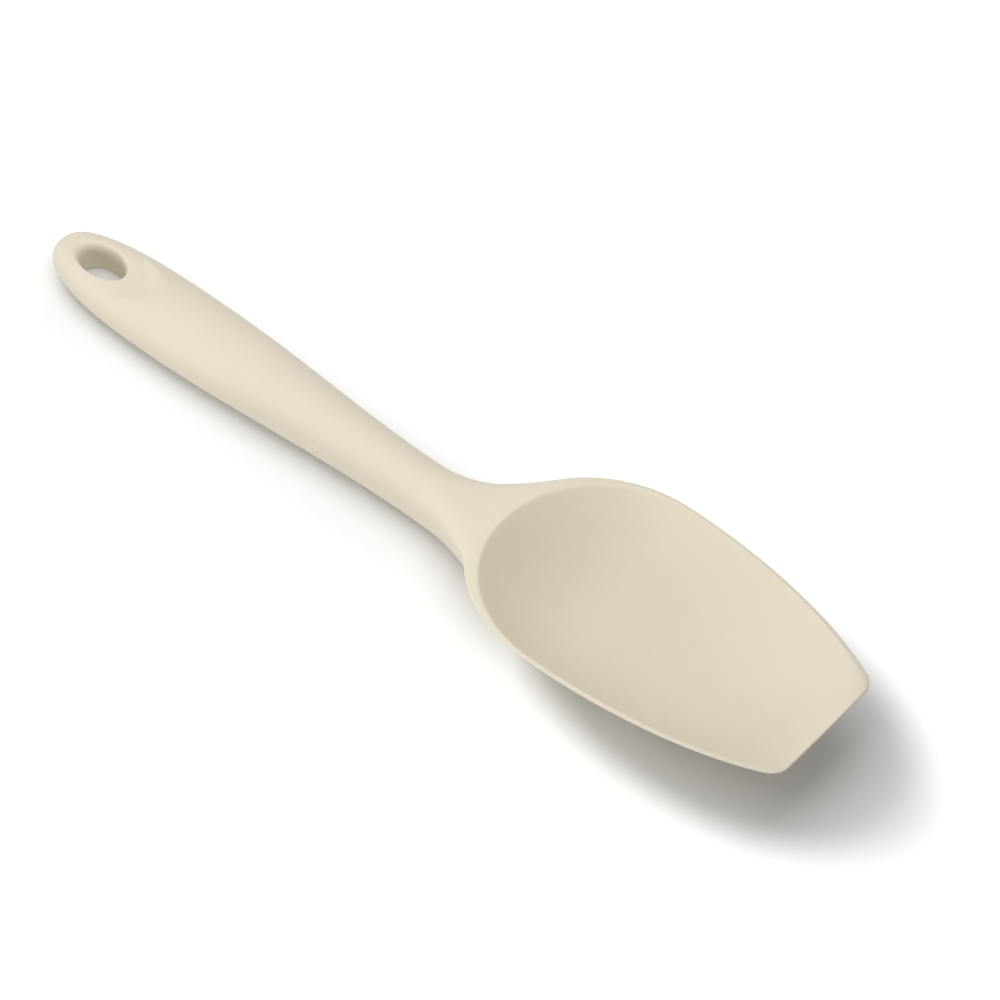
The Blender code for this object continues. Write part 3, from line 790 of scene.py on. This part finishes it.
# %% [markdown]
# ## White nylon
#
# Only four round peg ends of the core can be seen, in the underside. Glass-filled nylon is a dull
# off-white with a faint speckle of fibres and a dry, slightly rough face. One fine noise gives both
# the speckle and its bump, since it is the fibres that stand up. The core's shape in the packed
# model is right as it is, so it only gets this finish.

# %% Make the nylon
NYLON_IOR = 1.53
DULL_WHITE = (0.74, 0.73, 0.69)
FIBRE_WHITE = (0.83, 0.82, 0.79)
NYLON_ROUGHNESS = (0.42, 0.58)
FIBRE_HEIGHT = 0.03 * MM
FIBRE_STRENGTH = 0.3

nylon, nylon_shader = new_finish("white_nylon", {"IOR": NYLON_IOR})
speckle = object_noise(nylon, scale=2600.0, detail=4.0, roughness=0.7)
dryness = object_noise(nylon, scale=900.0, detail=2.0)
off_white = colour_between(nylon, speckle, DULL_WHITE, FIBRE_WHITE)
dry_face = between(nylon, dryness, *NYLON_ROUGHNESS)
fibres = bumps(nylon, [(speckle, FIBRE_HEIGHT, FIBRE_STRENGTH)])
nylon_links = nylon.node_tree.links
nylon_links.new(off_white, nylon_shader.inputs["Base Color"])
nylon_links.new(dry_face, nylon_shader.inputs["Roughness"])
nylon_links.new(fibres, nylon_shader.inputs["Normal"])
for core_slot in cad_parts["nylon_core"].material_slots:
    core_slot.material = nylon
print("Nylon on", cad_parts["nylon_core"].name)

# %% [markdown]
# ## The white table
#
# The photograph has a pure white ground that keeps only the spoon's soft shadow. More light would
# whiten the ground too, but it would wash out the spoon. So the floor is a plain pale sheet with a
# little light of its own, which sends nothing extra onto the spoon: only the camera sees it,
# directly, in a mirror or through glass.

# %% Make the floor
FLOOR_HALF_SIZE = 3.0
FLOOR_GAP = 0.02 * MM
floor_mesh = bpy.data.meshes.new("floor")
sheet = bmesh.new()
bmesh.ops.create_grid(sheet, x_segments=1, y_segments=1, size=FLOOR_HALF_SIZE)
bmesh.ops.translate(sheet, verts=sheet.verts, vec=(0.0, 0.0, -FLOOR_GAP))
sheet.to_mesh(floor_mesh)
sheet.free()
floor = bpy.data.objects.new("floor", floor_mesh)
bpy.context.scene.collection.objects.link(floor)
print("Floor is", 2 * FLOOR_HALF_SIZE, "m wide")

# %% [markdown]
# The floor's own light has a shape. It is zero where the shadow lies, round the handle's middle
# line and in an oval under the front of the bowl, and it grows with the distance from both. So
# the shadow keeps its depth, and its outer edge fades fast. Further out it grows once more, where
# the lamps no longer reach, so the ground is pure white as far as any picture shows it.

# %% Make the glow helpers
def math_node(tree, operation, first, second):
    """A math node with two inputs, each a socket or a number."""
    node = tree.nodes.new("ShaderNodeMath")
    node.operation = operation
    for socket, value in zip(node.inputs, (first, second)):
        if isinstance(value, float):
            socket.default_value = value
        else:
            tree.links.new(value, socket)
    return node.outputs["Value"]


def seen_ray(tree):
    """1 for the rays that the camera sees directly, in a mirror or through glass, else 0."""
    path = tree.nodes.new("ShaderNodeLightPath")
    indirect = math_node(tree, 'MAXIMUM', path.outputs["Is Glossy Ray"],
                         path.outputs["Is Transmission Ray"])
    return math_node(tree, 'MAXIMUM', path.outputs["Is Camera Ray"], indirect)


def far_from(tree, centre, half_length, scale, near, far):
    """Rise smoothly from 0 at near to 1 at far, by the distance from a line along X."""
    coordinates = tree.nodes.new("ShaderNodeTexCoord")
    parts = tree.nodes.new("ShaderNodeSeparateXYZ")
    tree.links.new(coordinates.outputs["Object"], parts.inputs["Vector"])
    along = math_node(tree, 'SUBTRACT', parts.outputs["X"], centre[0])
    along = math_node(tree, 'ABSOLUTE', along, 0.0)
    past_end = math_node(tree, 'MAXIMUM', math_node(tree, 'SUBTRACT', along, half_length), 0.0)
    across = math_node(tree, 'SUBTRACT', parts.outputs["Y"], centre[1])
    offset = tree.nodes.new("ShaderNodeCombineXYZ")
    tree.links.new(math_node(tree, 'DIVIDE', past_end, scale[0]), offset.inputs["X"])
    tree.links.new(math_node(tree, 'DIVIDE', across, scale[1]), offset.inputs["Y"])
    distance = tree.nodes.new("ShaderNodeVectorMath")
    distance.operation = 'LENGTH'
    tree.links.new(offset.outputs["Vector"], distance.inputs[0])
    rise = tree.nodes.new("ShaderNodeMapRange")
    rise.interpolation_type = 'SMOOTHSTEP'
    rise.inputs["From Min"].default_value = near
    rise.inputs["From Max"].default_value = far
    tree.links.new(distance.outputs["Value"], rise.inputs["Value"])
    return rise.outputs["Result"]


print("The glow is seen by camera, mirror and glass rays, and by no others")

# %% Paint the floor
FLOOR_COLOUR = (0.85, 0.85, 0.85, 1.0)
WHITE = (1.0, 1.0, 1.0, 1.0)
NEAR_GLOW = 0.44
FAR_GLOW = 0.50
EVEN = (1.0, 1.0)                           # distances count alike along X and Y
HANDLE_SHADOW = (-47 * MM, -5 * MM)         # the middle of each shadow on the floor
BOWL_SHADOW = (95 * MM, 4.2 * MM)
HANDLE_SHADOW_HALF_LENGTH = 68 * MM
BOWL_SHADOW_RADII = (50 * MM, 27.6 * MM)
BOWL_SHADOW_END = 1.46                      # in radii of its oval

ground, ground_shader = new_finish("white_ground", {
    "Base Color": FLOOR_COLOUR, "Roughness": 1.0, "Specular IOR Level": 0.0,
    "Emission Color": WHITE})
ground_tree = ground.node_tree
past_handle = far_from(ground_tree, HANDLE_SHADOW, HANDLE_SHADOW_HALF_LENGTH, EVEN,
                       near=-1 * MM, far=46 * MM)
past_bowl = far_from(ground_tree, BOWL_SHADOW, 0.0, BOWL_SHADOW_RADII,
                     near=1.0, far=BOWL_SHADOW_END)
past_lamps = far_from(ground_tree, (0.0, 0.0), 0.0, EVEN, near=100 * MM, far=500 * MM)
past_both = math_node(ground_tree, 'MINIMUM', past_handle, past_bowl)
near_glow = math_node(ground_tree, 'MULTIPLY', past_both, NEAR_GLOW)
far_glow = math_node(ground_tree, 'MULTIPLY', past_lamps, FAR_GLOW)
glow = math_node(ground_tree, 'ADD', near_glow, far_glow)
seen_glow = math_node(ground_tree, 'MULTIPLY', glow, seen_ray(ground_tree))
ground_tree.links.new(seen_glow, ground_shader.inputs["Emission Strength"])
floor_mesh.materials.append(ground)
print("Floor nodes:", len(ground_tree.nodes))

# %% [markdown]
# ## The light
#
# The shadow and the shading tell where the light was. The handle's top is bright along its whole
# length, the back of the hollow is dark and its far wall is bright, and a deep shadow pools past
# the raised tip. That needs two soft lamps close above the table, one past the handle's butt and
# one over the bowl. The near flank of the handle is brighter than its far one, so two low cards
# lit it from the near side. A dim surround fills the rest, and the camera sees white past the
# floor. One big soft box would be simpler, but it would leave the hollow flat.

# %% Set the lights
LAMP_HEIGHT = 0.30
CARD_SIZE = (1.2, 0.4)
CARD_DISTANCE = 0.9
CARD_HEIGHT = 0.225
SPOON_MIDDLE = Vector((0.0, 0.0, 0.0))


def soft_light(name, size, watts, place, target):
    """A rectangular area light that faces its target and isn't seen itself."""
    data = bpy.data.lights.new(name, 'AREA')
    data.shape = 'RECTANGLE'
    data.size, data.size_y = size
    data.energy = watts
    light = bpy.data.objects.new(name, data)
    light.location = place
    light.rotation_euler = (target - place).to_track_quat('-Z', 'Y').to_euler()
    light.visible_camera = False
    bpy.context.scene.collection.objects.link(light)


def lamp(name, size, watts, x, y):
    """A soft lamp straight above a place on the table."""
    soft_light(name, size, watts, Vector((x, y, LAMP_HEIGHT)), Vector((x, y, 0.0)))


def card(name, watts, azimuth):
    """A low white card at an azimuth from +X in degrees, turned to the spoon."""
    turn = math.radians(azimuth)
    place = Vector((CARD_DISTANCE * math.cos(turn), CARD_DISTANCE * math.sin(turn), CARD_HEIGHT))
    soft_light(name, CARD_SIZE, watts, place, SPOON_MIDDLE)


lamp("lamp_past_butt", size=(0.14, 0.28), watts=0.53, x=-0.275, y=0.05)
lamp("lamp_over_bowl", size=(0.27, 0.42), watts=0.67, x=0.04, y=-0.025)
card("card_near", watts=2.0, azimuth=270.0)
card("card_near_butt", watts=1.7, azimuth=225.0)

# %% Set the surround
SURROUND_LIGHT = 0.19
SURROUND_SEEN = 1.0
world = bpy.data.worlds.new("white_surround")
bpy.context.scene.world = world
world.use_nodes = True
world_tree = world.node_tree
background = world_tree.nodes["Background"]
background.inputs["Color"].default_value = WHITE
brightness = world_tree.nodes.new("ShaderNodeMapRange")
brightness.inputs["To Min"].default_value = SURROUND_LIGHT
brightness.inputs["To Max"].default_value = SURROUND_SEEN
world_tree.links.new(seen_ray(world_tree), brightness.inputs["Value"])
world_tree.links.new(brightness.outputs["Result"], background.inputs["Strength"])
bpy.context.scene.view_settings.view_transform = 'Standard'
print("The surround lights the spoon at", SURROUND_LIGHT)
